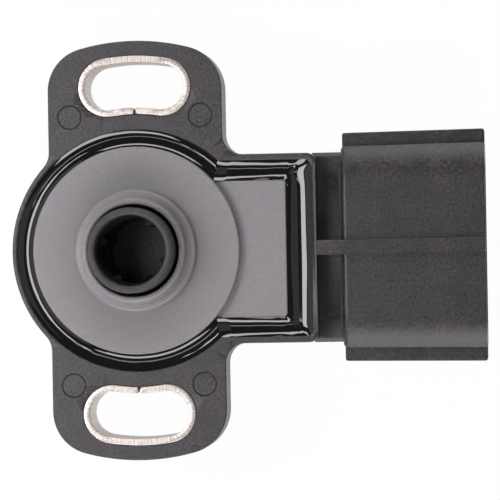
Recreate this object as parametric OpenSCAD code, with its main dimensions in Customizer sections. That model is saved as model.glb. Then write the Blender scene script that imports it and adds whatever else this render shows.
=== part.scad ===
// Throttle position sensor for a car engine.
// A rotor with a drive socket turns against a spring inside a potted plastic housing,
// and its brush runs on a printed resistor. Two slotted ears take the fixing screws.
// The origin is on the rotor axis, in the plane of the ears' mating faces.
// +Z points to the throttle body, and +X points out of the connector's mouth.

/* [Screw slots and ears] */
// Distance between the middles of the two screw slots, across the rotor axis
slot_pitch = 38; // [36:0.5:44]
// Clear width of a screw slot
slot_w = 5.2; // [4.2:0.1:6.2]
// Angle from the middle of a slot to the centre of its round end, in degrees
slot_swing = 9.5; // [6:0.1:11]
// Thickness of the steel strip that lines a slot
sleeve_wall = 0.75; // [0.5:0.05:1]
// Height of a sleeve's end above the ear on the mating side
sleeve_proud = 0.1; // [0:0.05:0.3]
// Length of a sleeve that stands out of the back of its ear
sleeve_back = 0.3; // [0.1:0.1:0.8]
// Gap at the seam of a rolled sleeve
seam_gap = 0.2; // [0.08:0.02:0.3]
// Rounding of the strip's sheared corners at the seam
seam_r = 0.3; // [0.1:0.02:0.34]
// Thickness of an ear
ear_t = 5; // [3.5:0.5:6]
// Width across an ear
ear_w = 20.1; // [18:0.1:21]
// Plastic between a sleeve and the ear's outer arc
ear_lip = 1.72; // [1.2:0.02:2.6]
// Radius of an ear's outer corners
ear_corner_r = 5; // [3:0.25:6]
// Radius where an ear runs into the round body
ear_root_r = 2.5; // [1:0.25:3.5]
// Radius where an ear runs into the straight body
ear_crotch_r = 2.3; // [1:0.1:3]
// Thickness of the gussets behind an ear
gusset_t = 1.3; // [0.8:0.1:2]
// Distance of a gusset from the side of its ear
gusset_inset = 2; // [1:0.1:3]
// Where a gusset reaches its full depth, as a share of the cup's radius
gusset_foot = 0.7; // [0.5:0.05:0.9]
// Depth of a gusset at the body
gusset_h = 3.6; // [2:0.2:5]
// Radius of an ejector pin mark on an ear
pin_mark_r = 1.42; // [1:0.05:1.8]
// Distance between an ear's two pin marks
pin_mark_pitch = 15.1; // [13:0.05:16]
// Distance of an ear's pin marks from the middle of its slot, towards the body
pin_mark_drop = 3.6; // [3:0.1:4.4]
// Depth of every ejector pin mark
pin_mark_depth = 0.05; // [0.04:0.01:0.2]
// Width of the groove that the pin's worn edge leaves round its mark
pin_groove_w = 0.16; // [0.1:0.02:0.3]

/* [Housing] */
// Plastic between a sleeve and the round body's rim
land_w = 1.2; // [1:0.05:2.5]
// Width of the rim round the seal, on the round body
rim_w = 0.6; // [0.4:0.05:1.2]
// Width of the rim along the straight sides
side_rim_w = 0.72; // [0.4:0.02:1.2]
// Width of the rim at the connector end
end_rim_w = 0.58; // [0.4:0.02:1.6]
// Outer corner radius of the straight body
body_corner_r = 1; // [0.85:0.05:2]
// Width of the ledge that carries the cover
ledge_w = 1.3; // [0.8:0.1:1.8]
// Thickness of the housing's floor
floor_t = 2.6; // [2:0.1:4]
// Rounding of the drum-shaped back
back_r = 1.6; // [0.5:0.1:2.2]
// Height of the drum-shaped back over the rest of the back
back_step = 1.5; // [1.4:0.1:2.4]
// Free depth under the resistor board
under_board = 1.8; // [1:0.1:3]
// Wall of the post that carries the rotor's pivot
pivot_wall = 1.6; // [1:0.1:2]

/* [Cover and seal] */
// Width of the potting seal round the disc
bead_w = 1.95; // [1.4:0.05:2.2]
// Width of the potting seal along the tongue
side_bead_w = 2.25; // [1.6:0.05:2.8]
// Width of the potting seal at the tongue's end
end_bead_w = 2.87; // [1.8:0.01:3.2]
// Depth of the potting channel below the mating face
pot_depth = 1.4; // [1.2:0.1:2.2]
// Depth of the seal's hollow surface between its edges
seal_sag = 0.34; // [0.15:0.01:0.4]
// Thickness of the cover's hidden flange
flange_t = 1; // [0.7:0.1:1.6]
// Clearance between the flange and the channel's wall
flange_clear = 0.15; // [0.1:0.05:0.3]
// Width of the cover's tongue
tongue_w = 15.7; // [13.5:0.1:17]
// Distance from the rotor axis to the tongue's end
tongue_reach = 17.2; // [16:0.1:20]
// Corner radius of the tongue
tongue_corner_r = 0.4; // [0.2:0.05:1]
// Depth of the tongue's face below the mating face
tongue_drop = 0.4; // [0.3:0.05:0.6]
// Height of the disc's face over the mating face
disc_h = 0.9; // [0.4:0.05:1.6]
// Height of the boss's low step over the disc
step_h = 0.95; // [0.6:0.05:1.6]
// Height of the boss over its low step
boss_h = 2; // [1.2:0.1:3]
// Wall of the boss round the rotor
boss_lip = 0.7; // [0.5:0.05:1.2]
// Wall of the boss round the shaft seal's seat
boss_wall = 0.75; // [0.5:0.05:1.2]
// Rounding of the boss's top edge
boss_round = 0.35; // [0.1:0.05:0.45]

/* [Rotor] */
// Radius of the drive socket
bore_r = 4; // [3.5:0.1:4.5]
// Wall of the rotor's sleeve
rotor_wall = 0.87; // [0.6:0.01:1.2]
// Height of the rotor's rim over the mating face
rotor_rim_h = 6.6; // [5.5:0.1:8]
// Width across the slot between the drive ribs
tang_w = 3.8; // [3:0.1:4.4]
// Direction of the tang slot at rest, from +X, in degrees
tang_angle = 21; // [0:1:45]
// Distance of a drive rib's tip from the rotor axis
rib_tip_r = 3.15; // [2.8:0.05:3.3]
// Depth of the drive ribs' tops below the rotor's rim
rib_drop = 3.3; // [2:0.1:5]
// Thickness of plastic under the drive socket
socket_floor_t = 1.6; // [1:0.1:2.5]
// Thickness of the rotor's drum
drum_t = 2; // [1.5:0.1:3]
// Gap between the drum and the housing's wall
drum_gap = 1.8; // [1.4:0.1:2.6]
// Radius of the lower pivot
pivot_r = 1.5; // [1.1:0.1:2]
// Depth of the pivot's hole below the housing's inner floor
pivot_depth = 1.2; // [0.8:0.1:1.6]
// Radial running clearance of the rotor in its bearings
run_clear = 0.05; // [0.03:0.01:0.08]
// Radial gap between the rotor and the boss, where it shows
boss_gap = 0.38; // [0.25:0.01:0.6]
// Turn of the rotor from its rest stop to its far stop, in degrees
rotor_turn = 105; // [80:1:110]

/* [Shaft seal, bush and spring] */
// Thickness of the shaft seal's rubber
seal_d = 1.24; // [1:0.02:1.6]
// Length of the bush inside the cover
bush_l = 1.55; // [1:0.05:2]
// Thickness of the bush's flange
bush_flange_t = 0.5; // [0.4:0.05:1]
// Overhang of the bush's flange round its seat
bush_flange_w = 0.9; // [0.5:0.1:1.3]
// Clearance of the bush and the shaft seal in their seat
seat_clear = 0.02; // [0.01:0.01:0.05]
// Depth left for the return spring
spring_room = 2.7; // [2.4:0.1:4]
// Thickness of the spring's wire
wire_d = 0.5; // [0.35:0.05:0.55]
// Gap between the spring's coil and the rotor
coil_gap = 1.4; // [0.8:0.1:1.8]

/* [Resistor and brush] */
// Depth left for the brush between drum and board
brush_room = 2; // [1.6:0.1:2.6]
// Thickness of the resistor board
board_t = 1; // [0.6:0.1:1.6]
// Clearance round the board
board_clear = 0.2; // [0.1:0.05:0.4]
// Thickness of the printed films
film_t = 0.08; // [0.05:0.01:0.12]
// Mean radius of the collector track
collector_r = 5.6; // [5.2:0.1:5.8]
// Mean radius of the resistive track
resistor_r = 8; // [7.7:0.1:8.2]
// Width of the two tracks
track_w = 1.5; // [1.2:0.1:1.7]
// Thickness of the brush's base strip
brush_t = 0.25; // [0.15:0.05:0.35]
// Thickness of a brush finger
finger_t = 0.15; // [0.1:0.01:0.2]
// Gap left between the brush fingers and their tracks
contact_gap = 0.03; // [0.02:0.01:0.06]

/* [Connector] */
// Length of the neck between body and connector
neck_l = 2.8; // [2.4:0.1:6]
// Depth of the neck's pockets below the mating face
neck_drop = 3; // [1.6:0.1:4]
// Width of the neck over each side of the body
neck_over = 0.1; // [0:0.02:0.3]
// Rounding of the neck's long edges
neck_edge_r = 0.6; // [0.3:0.1:1]
// Radius of a pin mark in the neck's pockets
neck_mark_r = 0.76; // [0.5:0.02:1]
// Distance of a neck pin mark from the centre line
neck_mark_y = 7.5; // [6:0.05:9]
// Distance of a neck pin mark from the body
neck_mark_x = 1.55; // [1.1:0.05:1.9]
// Length of the connector shell
shell_l = 16.42; // [14.5:0.02:20]
// Width of the connector shell
shell_w = 23; // [22:0.1:26]
// Height of the connector shell
shell_h = 12.8; // [12:0.1:14]
// Depth of the shell's top below the mating face
shell_drop = 0.65; // [0.3:0.05:1.2]
// Over this width the shell's broad faces fall away towards its sides
shell_fall_w = 3; // [2:0.1:4]
// And this far
shell_fall = 1.05; // [0.5:0.05:1.5]
// Radius of the corner where a fall ends in a side
shell_corner_r = 0.3; // [0.2:0.05:0.4]
// Flare of each side of the shell, from its start to its mouth
shell_flare = 0.2; // [0.1:0.02:0.4]
// Rounding of the shell's back edge
shell_edge_r = 0.6; // [0.3:0.1:1]
// Wall of the connector shell
shell_wall = 1.5; // [1.2:0.1:1.8]
// Depth of the connector socket
socket_depth = 13.4; // [12:0.1:14]
// Corner radius of the socket
socket_r = 1.6; // [0.8:0.1:2.4]
// Width of a side rail over the shell's side
rail_w = 1.7; // [0.8:0.05:2]
// Height of a side rail
rail_h = 3.6; // [2:0.1:5]
// Radius of the rails' corners, seen from above
rail_corner_r = 0.3; // [0.1:0.05:0.6]
// Width of the centre rib
rib_w = 1.7; // [1:0.05:2.5]
// Height of the centre rib over the shell
rib_h = 0.6; // [0.3:0.05:0.65]
// Height of the lock ramp under the shell
ramp_h = 1.2; // [0.8:0.1:1.3]
// Width of the lock ramp
ramp_w = 5; // [3:0.5:8]
// Side of the key ribs inside the socket
key_w = 0.9; // [0.6:0.1:1.2]

/* [Terminals] */
// Distance between the terminal blades
blade_pitch = 5.5; // [5:0.1:6]
// Width of a terminal blade
blade_w = 2.3; // [1.5:0.1:2.8]
// Thickness of a terminal blade
blade_t = 0.64; // [0.5:0.02:0.8]
// Length of a blade inside the socket
blade_l = 10; // [8:0.1:11]
// Length of a terminal's foot on the board
foot_l = 2.2; // [1.6:0.1:2.4]
// Width of a terminal's foot
foot_w = 1.4; // [1:0.1:1.8]
// Radius of a solder joint's dome
solder_r = 1.3; // [1.2:0.05:1.4]

/* [Hidden] */
$fn = 96;
// Overlap that joins two solids of one moulding, and run-out of a cut past a face
eps = 0.01;
run_out = 1;

// Colours, as the photograph shows them
housing_colour = [0.31, 0.30, 0.31];
cover_colour = [0.56, 0.54, 0.56];
seal_colour = [0.06, 0.055, 0.055];
steel_colour = [0.80, 0.78, 0.76];
rotor_colour = [0.22, 0.21, 0.22];
brass_colour = [0.80, 0.66, 0.36];

// Radii of the slots, the round body and the cover, from the slots inwards
slot_r = slot_pitch / 2;
sleeve_half_w = slot_w / 2 + sleeve_wall;
cup_r = slot_r - sleeve_half_w - land_w;
channel_r = cup_r - rim_w;
disc_r = channel_r - bead_w;
cavity_r = channel_r - ledge_w;
ear_r = slot_r + sleeve_half_w + ear_lip;
ear_half_w = ear_w / 2;

// Half widths and ends of the straight body and the cover's tongue
tongue_half_w = tongue_w / 2;
channel_half_w = tongue_half_w + side_bead_w;
body_half_w = channel_half_w + side_rim_w;
cavity_half_w = channel_half_w - ledge_w;
channel_end = tongue_reach + end_bead_w;
body_end = channel_end + end_rim_w;
cavity_end = channel_end - ledge_w;
channel_corner_r = tongue_corner_r + 0.4;

// Heights, from the mating face down to the back
flange_z = -pot_depth;
ledge_z = flange_z - flange_t;
bush_z = ledge_z - bush_flange_t;
drum_top_z = bush_z - spring_room;
drum_z = drum_top_z - drum_t;
socket_floor_z = drum_z + socket_floor_t;
board_top_z = drum_z - brush_room;
board_z = board_top_z - board_t;
inner_floor_z = board_z - under_board;
back_z = inner_floor_z - floor_t;
pivot_hole_z = inner_floor_z - pivot_depth;

// The cured potting lies this much below the edges that it meets
seal_shrink = 0.05;
seal_steps = 6;
seal_ring_steps = 60;
seal_corner_steps = 4;

// Heights of the cover's disc and boss
step_z = disc_h + step_h;
boss_z = step_z + boss_h;

// Rotor, its bearing and its seal
rotor_r = bore_r + rotor_wall;
boss_bore_r = rotor_r + boss_gap;
boss_r = boss_bore_r + boss_lip;
bearing_r = rotor_r + run_clear;
seat_r = bearing_r + seal_d + 2 * seat_clear;
step_r = seat_r + boss_wall;
bush_top_z = ledge_z + bush_l;
seat_roof_z = bush_top_z + seal_d + 2 * seat_clear;
core_inner_r = step_r + 0.9;
core_outer_r = disc_r - 2;
core_top_z = flange_z + 0.9;
drum_r = cavity_r - drum_gap;
rotor_edge = 0.2;
rib_top_z = rotor_rim_h - rib_drop;
pivot_clear_z = 0.1;
post_gap = 0.4;
pivot_post_r = pivot_r + run_clear + pivot_wall;
bore_end_z = rib_top_z + 0.55;
socket_step = 0.25;
socket_step_h = 0.5;
socket_draft = 0.1;
rib_t = 1.35;
rib_lean = 0.5;
rib_tip_t = 0.5;
rib_root = 0.3;
gate_r = 1.3;
gate_w = 0.16;
gate_depth = 0.15;
peg_r = 0.5;
peg_gap = 0.15;
stake_head_t = 0.3;
stake_head_w = 0.25;

// Rotor stops: a lug on the drum runs between two ribs on the cavity's wall
lug_angle = -60;
lug_half = 8;
lug_reach = 1.1;
stop_half = 5;
stop_clear = 0.6;
stop_gap = 0.25;
stop_swing = lug_half + stop_half + stop_clear;
stop_angles = [lug_angle - stop_swing, lug_angle + rotor_turn + stop_swing];

// Return spring
coil_r = rotor_r + coil_gap + wire_d / 2;
coil_turns = 3.25;
coil_clear = 0.12;
coil_top_z = bush_z - coil_clear - wire_d / 2;
coil_bottom_z = drum_top_z + coil_clear + wire_d / 2;
coil_fixed_angle = 110;
wire_sides = 8;
rings_per_turn = 20;
notch_clear = 0.2;
notch_w = wire_d + 2 * notch_clear;
notch_end_gap = 0.15;
notch_depth = 0.8;
anchor_r = drum_r - 0.8;

// Brush, tracks and board
brush_angle = 127.5;
track_margin = 9;
track_start = brush_angle - track_margin;
track_end = brush_angle + rotor_turn + track_margin;
finger_offsets = [-0.46, 0, 0.46];
finger_w = 0.34;
finger_root = 0.4;
finger_bend = 0.1;
finger_run = 3;
brush_base_l = 2.2;
brush_inner_r = collector_r - 0.9;
brush_outer_r = resistor_r + 0.8;
stake_r = 0.45;
board_hole_r = pivot_r + 1.2;
trace_w = 0.9;
trace_r = drum_r - 0.7;

// Connector
shell_start = body_end + neck_l;
mouth_x = shell_start + shell_l;
socket_floor_x = mouth_x - socket_depth;
shell_top_z = -shell_drop;
shell_z = shell_top_z - shell_h;
blade_z = shell_top_z - shell_h / 2;
shell_half_w = shell_w / 2;
shell_edge_sink = 0.5;
rail_half_w = shell_half_w + rail_w;
neck_top_z = -neck_drop;
neck_lift = 1.6;
neck_bottom_z = shell_z + neck_lift;
ramp_catch = 6;
ramp_nose = 2.4;
ramp_flat = 1;
guide_w = 1;
guide_gap = 1.1;
guide_h = 0.8 * ramp_h;
rib_top = min(0, shell_top_z + rib_h);
straight_back_z = back_z + back_step;

// Terminals, from the one nearest -Y
blade_rows = [-blade_pitch, 0, blade_pitch];
blade_tip_x = socket_floor_x + blade_l;
knee_x = cavity_end - 0.4;
foot_x = knee_x - foot_l;
foot_z = board_top_z + film_t;
solder_x = foot_x + foot_l / 2 - 0.2;
solder_sink = 0.35;
pad_margin = 0.15;

// Plane shapes

module rounded_rectangle(width, height, radius) {
    square([width - 2 * radius, height], center = true);
    square([width, height - 2 * radius], center = true);
    for (sx = [-1, 1], sy = [-1, 1])
        translate([sx * (width / 2 - radius), sy * (height / 2 - radius)])
            circle(radius);
}

// A strip along +X with two round corners at its far end
module tongue_outline(half_w, reach, corner_r) {
    translate([0, -half_w]) square([reach - corner_r, 2 * half_w]);
    translate([0, corner_r - half_w]) square([reach, 2 * (half_w - corner_r)]);
    for (side = [-1, 1])
        translate([reach - corner_r, side * (half_w - corner_r)])
            circle(corner_r);
}

module keyhole_outline(radius, half_w, reach, corner_r) {
    circle(radius);
    tongue_outline(half_w, reach, corner_r);
}

// A slice of the plane between two angles, as seen from the origin
module sector(from, to, reach) {
    steps = ceil((to - from) / 30);
    polygon(concat([[0, 0]], [
        for (i = [0 : steps])
            let (a = from + (to - from) * i / steps)
            reach * [cos(a), sin(a)]
    ]));
}

module arc_band(mid_r, width, from, to) {
    intersection() {
        difference() {
            circle(mid_r + width / 2);
            circle(mid_r - width / 2);
        }
        sector(from, to, 2 * (mid_r + width));
    }
}

// A curved slot about the origin, with its middle on +Y
module slot_outline(half_w) {
    arc_band(slot_r, 2 * half_w, 90 - slot_swing, 90 + slot_swing);
    for (side = [-1, 1])
        rotate(side * slot_swing)
            translate([0, slot_r])
                circle(half_w);
}

// The plastic that fills an inside corner with a radius
module crotch(radius) {
    difference() {
        translate([-eps, -eps]) square(radius + eps);
        translate([radius, radius]) circle(radius);
    }
}

module ear_outline() {
    corner_x = ear_half_w - ear_corner_r;
    corner_d = ear_r - ear_corner_r;
    corner_y = sqrt(corner_d * corner_d - corner_x * corner_x);
    corner_a = atan2(corner_y, corner_x);
    root_x = ear_half_w + ear_root_r;
    root_d = cup_r + ear_root_r;
    root_y = sqrt(root_d * root_d - root_x * root_x);
    translate([-ear_half_w, 0]) square([ear_w, corner_y]);
    intersection() {
        circle(ear_r);
        sector(corner_a, 180 - corner_a, 2 * ear_r);
    }
    for (side = [-1, 1])
        translate([side * corner_x, corner_y])
            circle(ear_corner_r);
    difference() {
        polygon([
            [-ear_half_w, root_y],
            [-root_x * cup_r / root_d, root_y * cup_r / root_d],
            [0, 0]
        ]);
        translate([-root_x, root_y]) circle(ear_root_r);
    }
    translate([ear_half_w, body_half_w]) crotch(ear_crotch_r);
}

module channel_outline() {
    keyhole_outline(channel_r, channel_half_w, channel_end, channel_corner_r);
}

module cavity_outline(clear) {
    keyhole_outline(cavity_r - clear, cavity_half_w - clear, cavity_end - clear, channel_corner_r);
}

// Stands a YZ profile up and runs it along +X
module along_x(from, to) {
    translate([from, 0, 0])
        rotate([90, 0, 90])
            linear_extrude(to - from)
                children();
}

// Housing

module ears() {
    for (side = [0, 1])
        mirror([0, side, 0]) {
            translate([0, 0, -ear_t])
                linear_extrude(ear_t)
                    ear_outline();
            gussets();
        }
}

// Two triangular webs behind an ear, from the body to beside the slot
module gussets() {
    tip_y = slot_r - sleeve_half_w;
    foot_y = cup_r * gusset_foot;
    for (side = [-1, 1])
        translate([side * (ear_half_w - gusset_inset - gusset_t / 2) - gusset_t / 2, 0, 0])
            rotate([90, 0, 90])
                linear_extrude(gusset_t)
                    polygon([[0, -ear_t + eps], [tip_y, -ear_t + eps],
                             [foot_y, -ear_t - gusset_h], [0, -ear_t - gusset_h]]);
}

module cup() {
    rotate_extrude() {
        translate([0, back_z]) square([cup_r - back_r, -back_z]);
        translate([0, back_z + back_r]) square([cup_r, -back_z - back_r]);
        translate([cup_r - back_r, back_z + back_r]) circle(back_r);
    }
}

module straight_body() {
    intersection() {
        translate([0, 0, straight_back_z])
            linear_extrude(-straight_back_z)
                tongue_outline(body_half_w, body_end, body_corner_r);
        along_x(0, body_end) {
            translate([-body_half_w, straight_back_z + back_r])
                square([2 * body_half_w, -straight_back_z - back_r]);
            translate([back_r - body_half_w, straight_back_z])
                square([2 * (body_half_w - back_r), -straight_back_z]);
            for (side = [-1, 1])
                translate([side * (body_half_w - back_r), straight_back_z + back_r])
                    circle(back_r);
        }
    }
}

module neck() {
    mid_z = (neck_top_z + neck_bottom_z) / 2;
    height = neck_top_z - neck_bottom_z;
    along_x(body_end - end_rim_w, shell_start + run_out)
        translate([0, mid_z])
            rounded_rectangle(2 * (body_half_w + neck_over), height, neck_edge_r);
}

// The rib that runs along the middle of neck and shell, on the mating side and behind the neck
module centre_rib() {
    along_x(body_end - end_rim_w, mouth_x)
        translate([-rib_w / 2, blade_z])
            square([rib_w, rib_top - blade_z]);
    along_x(body_end - end_rim_w, shell_start + run_out)
        translate([-rib_w / 2, shell_z])
            square([rib_w, blade_z - shell_z]);
}

// The shell's outline: each broad face falls away in a bow before it meets the side
module fallen_rectangle(width, height) {
    hull()
        for (sx = [-1, 1], sy = [-1, 1])
            scale([sx, sy]) {
                polygon(concat([[0, 0]],
                    [for (i = [0 : 10]) [width / 2 - shell_fall_w * (1 - i / 12),
                                         height / 2 - shell_fall * pow(i / 12, 2)]]));
                translate([width / 2 - shell_corner_r, height / 2 - shell_fall - shell_corner_r / 2])
                    circle(shell_corner_r, $fn = 32);
            }
}

// A thin slice across the shell, wider or narrower than its start
module shell_slice(x, grow_w, grow_h) {
    along_x(x, x + eps)
        translate([0, blade_z])
            fallen_rectangle(shell_w + 2 * grow_w, shell_h + 2 * grow_h);
}

// The shell flares towards its mouth, and its back edge is rounded
module shell() {
    hull() {
        for (a = [0 : 30 : 90])
            shell_slice(shell_start + shell_edge_r * (1 - sin(a)),
                        shell_edge_r * (cos(a) - 1) * shell_edge_sink, shell_edge_r * (cos(a) - 1));
        shell_slice(mouth_x - eps, shell_flare, 0);
    }
    translate([0, 0, blade_z - rail_h / 2])
        linear_extrude(rail_h)
            offset(rail_corner_r, $fn = 32)
                offset(delta = -rail_corner_r)
                    polygon([[shell_start, -rail_half_w], [mouth_x, -rail_half_w - shell_flare],
                             [mouth_x, rail_half_w + shell_flare], [shell_start, rail_half_w]]);
}

// A wedge under the shell for the plug's latch, between two guide ribs
module lock_ramp() {
    catch_x = mouth_x - ramp_catch;
    nose_x = mouth_x - ramp_nose;
    translate([0, ramp_w / 2, 0])
        rotate([90, 0, 0])
            linear_extrude(ramp_w)
                polygon([[catch_x, shell_z + eps], [catch_x, shell_z - ramp_h],
                         [catch_x + ramp_flat, shell_z - ramp_h], [nose_x, shell_z + eps]]);
    for (side = [-1, 1])
        along_x(shell_start, mouth_x - run_out)
            translate([side * (ramp_w / 2 + guide_gap + guide_w / 2) - guide_w / 2, shell_z - guide_h])
                square([guide_w, guide_h + eps]);
}

module socket_cut() {
    along_x(socket_floor_x, mouth_x + run_out)
        difference() {
            translate([0, blade_z])
                rounded_rectangle(shell_w - 2 * shell_wall, shell_h - 2 * shell_wall, socket_r);
            for (side = [-1, 1])
                translate([side * (shell_half_w - shell_wall), blade_z])
                    square(key_w * [2, 1], center = true);
        }
}

// The seal channel, the working space below it, and the hole for the rotor's pivot
module inside_cut() {
    translate([0, 0, ledge_z]) linear_extrude(run_out - ledge_z) channel_outline();
    translate([0, 0, board_z]) linear_extrude(run_out - board_z) cavity_outline(0);
    difference() {
        translate([0, 0, inner_floor_z])
            cylinder(h = board_z - inner_floor_z + eps, r = cavity_r - ledge_w);
        translate([0, 0, inner_floor_z - eps])
            cylinder(h = under_board - post_gap, r = pivot_post_r);
    }
    translate([0, 0, pivot_hole_z]) cylinder(h = run_out - pivot_hole_z, r = pivot_r + run_clear);
}

// Where the return spring's fixed end is held, open to the ledge
module spring_notch() {
    rotate(coil_fixed_angle)
        translate([cavity_r - run_out, -notch_w / 2, coil_top_z - notch_w / 2])
            cube([run_out + notch_depth, notch_w, ledge_z + eps - coil_top_z + notch_w / 2]);
}

// The stops' outline, grown by a clearance: two short bands on the cavity's wall
module stops_outline(clear) {
    swell = clear / cavity_r * 180 / PI;
    difference() {
        for (a = stop_angles)
            intersection() {
                circle(cavity_r + eps);
                sector(a - stop_half - swell, a + stop_half + swell, 2 * cavity_r);
            }
        circle(drum_r + stop_gap - clear);
    }
}

// The stops stand on the board's ledge and reach up past the drum
module rotor_stops() {
    translate([0, 0, board_z])
        linear_extrude(drum_top_z - board_z)
            stops_outline(0);
}

// A shallow round print with a deeper groove round it
module pin_mark(radius) {
    translate([0, 0, -pin_mark_depth]) cylinder(h = run_out, r = radius);
    translate([0, 0, -2 * pin_mark_depth])
        linear_extrude(run_out)
            difference() {
                circle(radius);
                circle(radius - pin_groove_w);
            }
}

module pin_marks() {
    for (sx = [-1, 1], sy = [-1, 1])
        translate([sx * pin_mark_pitch / 2, sy * (slot_r - pin_mark_drop), 0])
            pin_mark(pin_mark_r);
    for (sy = [-1, 1])
        translate([body_end + neck_mark_x, sy * neck_mark_y, neck_top_z])
            pin_mark(neck_mark_r);
}

module terminal_cuts() {
    for (row = blade_rows)
        translate([knee_x, row - blade_w / 2, blade_z - blade_t / 2])
            cube([socket_floor_x + eps - knee_x, blade_w, blade_t]);
}

module housing() {
    color(housing_colour)
    difference() {
        union() {
            ears();
            cup();
            straight_body();
            neck();
            centre_rib();
            shell();
            lock_ramp();
        }
        difference() {
            inside_cut();
            rotor_stops();
        }
        spring_notch();
        socket_cut();
        terminal_cuts();
        for (side = [0, 1])
            mirror([0, side, 0])
                translate([0, 0, -ear_t - run_out])
                    linear_extrude(ear_t + 2 * run_out)
                        slot_outline(sleeve_half_w);
        pin_marks();
    }
}

// Steel sleeves

// The gap between a rolled strip's two ends, with their sheared corners rounded off
module seam_cut() {
    inner_y = slot_r - sleeve_half_w;
    outer_y = slot_r - slot_w / 2;
    translate([-seam_gap / 2, inner_y - run_out]) square([seam_gap, sleeve_wall + 2 * run_out]);
    for (side = [-1, 1])
        scale([side, 1])
            translate([seam_gap / 2 - eps, 0]) {
                translate([0, outer_y + eps]) rotate(-90) crotch_corner();
                translate([0, inner_y - eps]) crotch_corner();
            }
}

module crotch_corner() {
    difference() {
        square(seam_r);
        translate([seam_r, seam_r]) circle(seam_r);
    }
}

module sleeve() {
    translate([0, 0, -ear_t - sleeve_back])
        linear_extrude(ear_t + sleeve_back + sleeve_proud)
            difference() {
                slot_outline(sleeve_half_w);
                slot_outline(slot_w / 2);
                seam_cut();
            }
}

module upper_sleeve() {
    color(steel_colour) sleeve();
}

module lower_sleeve() {
    color(steel_colour) mirror([0, 1, 0]) sleeve();
}

// Cover and seal

module cover_boss() {
    rotate_extrude() {
        square([step_r, step_z]);
        square([boss_r - boss_round, boss_z]);
        square([boss_r, boss_z - boss_round]);
        translate([boss_r - boss_round, boss_z - boss_round]) circle(boss_round);
    }
}

module cover_bores() {
    translate([0, 0, ledge_z - run_out]) cylinder(h = boss_z - ledge_z + 2 * run_out, r = boss_bore_r);
    translate([0, 0, ledge_z - run_out]) cylinder(h = seat_roof_z - ledge_z + run_out, r = seat_r);
    translate([0, 0, ledge_z - run_out])
        linear_extrude(core_top_z - ledge_z + run_out)
            difference() {
                circle(core_outer_r);
                circle(core_inner_r);
            }
}

module cover_plate() {
    color(cover_colour)
    difference() {
        union() {
            translate([0, 0, ledge_z])
                linear_extrude(flange_t)
                    keyhole_outline(channel_r - flange_clear, channel_half_w - flange_clear,
                                    channel_end - flange_clear, channel_corner_r);
            translate([0, 0, ledge_z]) cylinder(h = disc_h - ledge_z, r = disc_r);
            translate([0, 0, ledge_z])
                linear_extrude(-tongue_drop - ledge_z)
                    tongue_outline(tongue_half_w, tongue_reach, tongue_corner_r);
            cover_boss();
        }
        cover_bores();
    }
}

function on_circle(centre, radius, angle) = centre + radius * [cos(angle), sin(angle)];

// Pairs of points round the potting: one on the cover's edge, and its partner on the channel's wall
function seal_pairs() =
    let (
        from_in = asin(tongue_half_w / disc_r),
        from_out = asin(channel_half_w / channel_r),
        corner_in = [tongue_reach - tongue_corner_r, tongue_half_w - tongue_corner_r],
        corner_out = [channel_end - channel_corner_r, channel_half_w - channel_corner_r]
    )
    concat(
        [for (i = [0 : seal_ring_steps])
            let (t = i / seal_ring_steps)
            [on_circle([0, 0], disc_r, from_in + t * (360 - 2 * from_in)),
             on_circle([0, 0], channel_r, from_out + t * (360 - 2 * from_out))]],
        [for (side = [-1, 1], i = [0 : seal_corner_steps])
            let (a = (side < 0 ? -90 : 0) + 90 * i / seal_corner_steps)
            [on_circle([corner_in.x, side * corner_in.y], tongue_corner_r, a),
             on_circle([corner_out.x, side * corner_out.y], channel_corner_r, a)]]
    );

// The potting's section between a pair of points: its top hollows down between the two edges
function seal_section(pair) =
    let (
        inner = pair[0],
        outer = pair[1],
        inner_z = -tongue_drop - seal_shrink,
        outer_z = -seal_shrink
    )
    concat(
        [[inner.x, inner.y, flange_z], [outer.x, outer.y, flange_z]],
        [for (i = [seal_steps : -1 : 0])
            let (
                t = i / seal_steps,
                p = inner + t * (outer - inner)
            )
            [p.x, p.y, inner_z + (outer_z - inner_z) * t - 4 * seal_sag * t * (1 - t)]]
    );

// A closed band lofted through sections, from each to the next and from the last to the first
module closed_loft(sections) {
    count = len(sections);
    around = len(sections[0]);
    polyhedron(
        [for (section = sections) each section],
        [for (i = [0 : count - 1], k = [0 : around - 1])
            let (
                next = (i + 1) % count * around,
                a = i * around + k,
                b = i * around + (k + 1) % around,
                c = next + (k + 1) % around,
                d = next + k
            )
            each [[a, b, c], [a, c, d]]]
    );
}

module seal_bead() {
    color(seal_colour)
        closed_loft([for (pair = seal_pairs()) seal_section(pair)]);
}

// Rotor and its bearing

// One rib in the drive socket: its flat side bounds the slot for the shaft's tang
module drive_rib() {
    side_y = tang_w / 2;
    tip_x = sqrt(rib_tip_r * rib_tip_r - side_y * side_y);
    wall_x = sqrt(bore_r * bore_r - side_y * side_y) + rib_root;
    polygon([[tip_x, side_y], [wall_x, side_y], [wall_x - rib_lean, side_y + rib_t],
             [tip_x - rib_tip_t / 5, side_y + rib_tip_t]]);
}

module drive_ribs() {
    translate([0, 0, socket_floor_z - eps])
        linear_extrude(rib_top_z - socket_floor_z + eps)
            rotate(tang_angle)
                for (sx = [0, 1], sy = [0, 1])
                    mirror([sx, 0])
                        mirror([0, sy])
                            drive_rib();
}

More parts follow.
